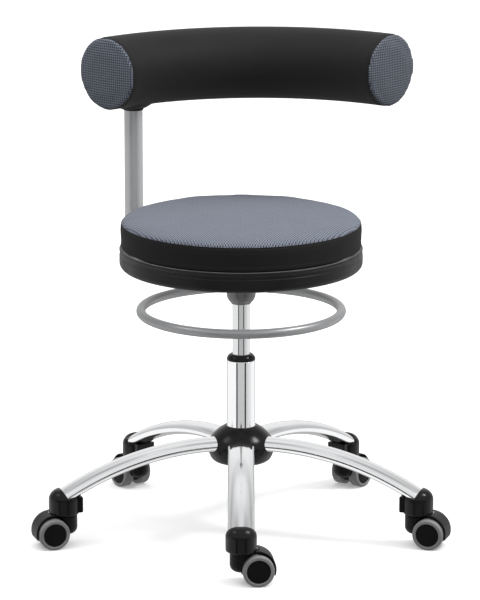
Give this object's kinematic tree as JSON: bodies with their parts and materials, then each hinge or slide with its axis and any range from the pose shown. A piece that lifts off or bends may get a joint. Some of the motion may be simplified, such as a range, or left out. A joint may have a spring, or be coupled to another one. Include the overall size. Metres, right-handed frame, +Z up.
{
  "type": "dentist stool",
  "caption": "Height-adjustable round stool with a curved bolster backrest on a swinging tube, a release ring under the seat and a star base on twin-wheel casters.",
  "frame": {"origin": "on the floor, on the axis of the column", "axes": "+Z up; +Y towards the back of the object as shown, the side the bolster is on; +X to the right seen from the front"},
  "size_m": [0.6732, 0.6157, 0.7905],
  "materials": {
    "chrome": "bright polished chrome plate",
    "silver_paint": "satin silver-grey coating",
    "bright_steel": "turned steel",
    "black_steel": "satin black paint",
    "black_plastic": "satin moulded plastic",
    "wheel_plastic": "matt moulded plastic",
    "tyre_grey": "soft grey tread",
    "plywood": "raw board",
    "seat_fabric": "grey woven mesh cloth over foam",
    "black_fabric": "black stretch cover over foam"
  },
  "bodies": {
    "base": {"hub_core": "black_steel", "hub_cover": "black_plastic", "base_arm_1": "chrome", "base_arm_2": "chrome", "base_arm_3": "chrome", "base_arm_4": "chrome", "base_arm_5": "chrome", "arm_sockets": "black_plastic", "caster_stems": "bright_steel", "stand_tube": "chrome", "guide_bush": "black_plastic", "thrust_bearing": "bright_steel"},
    "rod": {"piston_rod": "bright_steel", "rod_clip": "bright_steel"},
    "seat": {"gas_cylinder": "chrome", "taper_socket": "black_steel", "seat_plate": "black_steel", "seat_screws": "bright_steel", "seat_board": "plywood", "seat_pan": "black_plastic", "seat_cushion": "seat_fabric", "ring_pivot_pin": "bright_steel", "swivel_washers": "black_plastic"},
    "pin": {"release_pin": "bright_steel"},
    "ring": {"release_ring": "silver_paint", "ring_lever": "black_steel"},
    "backrest": {"swivel_hub": "black_steel", "backrest_tube": "silver_paint", "bolster_core": "plywood", "bolster_cushion": "black_fabric"},
    "caster_1": {"caster_body_1": "black_plastic", "caster_axle_1": "bright_steel"},
    "wheel_left_body_1": {"wheel_left_1": "wheel_plastic", "tyre_left_1": "tyre_grey"},
    "wheel_right_body_1": {"wheel_right_1": "wheel_plastic", "tyre_right_1": "tyre_grey"},
    "caster_2": {"caster_body_2": "black_plastic", "caster_axle_2": "bright_steel"},
    "wheel_left_body_2": {"wheel_left_2": "wheel_plastic", "tyre_left_2": "tyre_grey"},
    "wheel_right_body_2": {"wheel_right_2": "wheel_plastic", "tyre_right_2": "tyre_grey"},
    "caster_3": {"caster_body_3": "black_plastic", "caster_axle_3": "bright_steel"},
    "wheel_left_body_3": {"wheel_left_3": "wheel_plastic", "tyre_left_3": "tyre_grey"},
    "wheel_right_body_3": {"wheel_right_3": "wheel_plastic", "tyre_right_3": "tyre_grey"},
    "caster_4": {"caster_body_4": "black_plastic", "caster_axle_4": "bright_steel"},
    "wheel_left_body_4": {"wheel_left_4": "wheel_plastic", "tyre_left_4": "tyre_grey"},
    "wheel_right_body_4": {"wheel_right_4": "wheel_plastic", "tyre_right_4": "tyre_grey"},
    "caster_5": {"caster_body_5": "black_plastic", "caster_axle_5": "bright_steel"},
    "wheel_left_body_5": {"wheel_left_5": "wheel_plastic", "tyre_left_5": "tyre_grey"},
    "wheel_right_body_5": {"wheel_right_5": "wheel_plastic", "tyre_right_5": "tyre_grey"}
  },
  "joints": [
    {"name": "rod_swivel", "type": "hinge", "parent": "base", "child": "rod", "pos_m": [0, 0, 0.1065], "axis": [0, 0, 1], "continuous": true},
    {"name": "seat_height", "type": "slide", "parent": "rod", "child": "seat", "axis": [0, 0, 1], "range_m": [-0.072, 0.058]},
    {"name": "ring_tilt", "type": "hinge", "parent": "seat", "child": "ring", "pos_m": [0, -0.034, 0.4205], "axis": [-1, 0, 0], "range_deg": [0, 6], "stiffness_Nm_per_rad": 20, "springref_deg": -5.73},
    {"name": "pin_press", "type": "slide", "parent": "seat", "child": "pin", "axis": [0, 0, -1], "range_m": [0, 0.0036]},
    {"name": "backrest_swing", "type": "hinge", "parent": "seat", "child": "backrest", "pos_m": [0, 0, 0.4425], "axis": [0, 0, 1], "continuous": true},
    {"name": "caster_swivel_1", "type": "hinge", "parent": "base", "child": "caster_1", "pos_m": [0, -0.295, 0.0525], "axis": [0, 0, 1], "continuous": true},
    {"name": "wheel_left_spin_1", "type": "hinge", "parent": "caster_1", "child": "wheel_left_body_1", "pos_m": [0.02486, -0.29239, 0.025], "axis": [-0.1045, 0.9945, 0], "continuous": true},
    {"name": "wheel_right_spin_1", "type": "hinge", "parent": "caster_1", "child": "wheel_right_body_1", "pos_m": [0.02486, -0.29239, 0.025], "axis": [-0.1045, 0.9945, 0], "continuous": true},
    {"name": "caster_swivel_2", "type": "hinge", "parent": "base", "child": "caster_2", "pos_m": [0.28056, -0.09116, 0.0525], "axis": [0, 0, 1], "continuous": true},
    {"name": "wheel_left_spin_2", "type": "hinge", "parent": "caster_2", "child": "wheel_left_body_2", "pos_m": [0.30434, -0.09889, 0.025], "axis": [0.309, 0.9511, 0], "continuous": true},
    {"name": "wheel_right_spin_2", "type": "hinge", "parent": "caster_2", "child": "wheel_right_body_2", "pos_m": [0.30434, -0.09889, 0.025], "axis": [0.309, 0.9511, 0], "continuous": true},
    {"name": "caster_swivel_3", "type": "hinge", "parent": "base", "child": "caster_3", "pos_m": [0.1734, 0.23866, 0.0525], "axis": [0, 0, 1], "continuous": true},
    {"name": "wheel_left_spin_3", "type": "hinge", "parent": "caster_3", "child": "wheel_left_body_3", "pos_m": [0.18809, 0.25888, 0.025], "axis": [-0.809, 0.5878, 0], "continuous": true},
    {"name": "wheel_right_spin_3", "type": "hinge", "parent": "caster_3", "child": "wheel_right_body_3", "pos_m": [0.18809, 0.25888, 0.025], "axis": [-0.809, 0.5878, 0], "continuous": true},
    {"name": "caster_swivel_4", "type": "hinge", "parent": "base", "child": "caster_4", "pos_m": [-0.1734, 0.23866, 0.0525], "axis": [0, 0, 1], "continuous": true},
    {"name": "wheel_left_spin_4", "type": "hinge", "parent": "caster_4", "child": "wheel_left_body_4", "pos_m": [-0.18809, 0.25888, 0.025], "axis": [-0.809, -0.5878, 0], "continuous": true},
    {"name": "wheel_right_spin_4", "type": "hinge", "parent": "caster_4", "child": "wheel_right_body_4", "pos_m": [-0.18809, 0.25888, 0.025], "axis": [-0.809, -0.5878, 0], "continuous": true},
    {"name": "caster_swivel_5", "type": "hinge", "parent": "base", "child": "caster_5", "pos_m": [-0.28056, -0.09116, 0.0525], "axis": [0, 0, 1], "continuous": true},
    {"name": "wheel_left_spin_5", "type": "hinge", "parent": "caster_5", "child": "wheel_left_body_5", "pos_m": [-0.30434, -0.09889, 0.025], "axis": [0.309, -0.9511, 0], "continuous": true},
    {"name": "wheel_right_spin_5", "type": "hinge", "parent": "caster_5", "child": "wheel_right_body_5", "pos_m": [-0.30434, -0.09889, 0.025], "axis": [0.309, -0.9511, 0], "continuous": true}
  ],
  "couplings": [
    {"joint": "pin_press", "follows": "ring_tilt", "m_per_rad": 0.034}
  ]
}
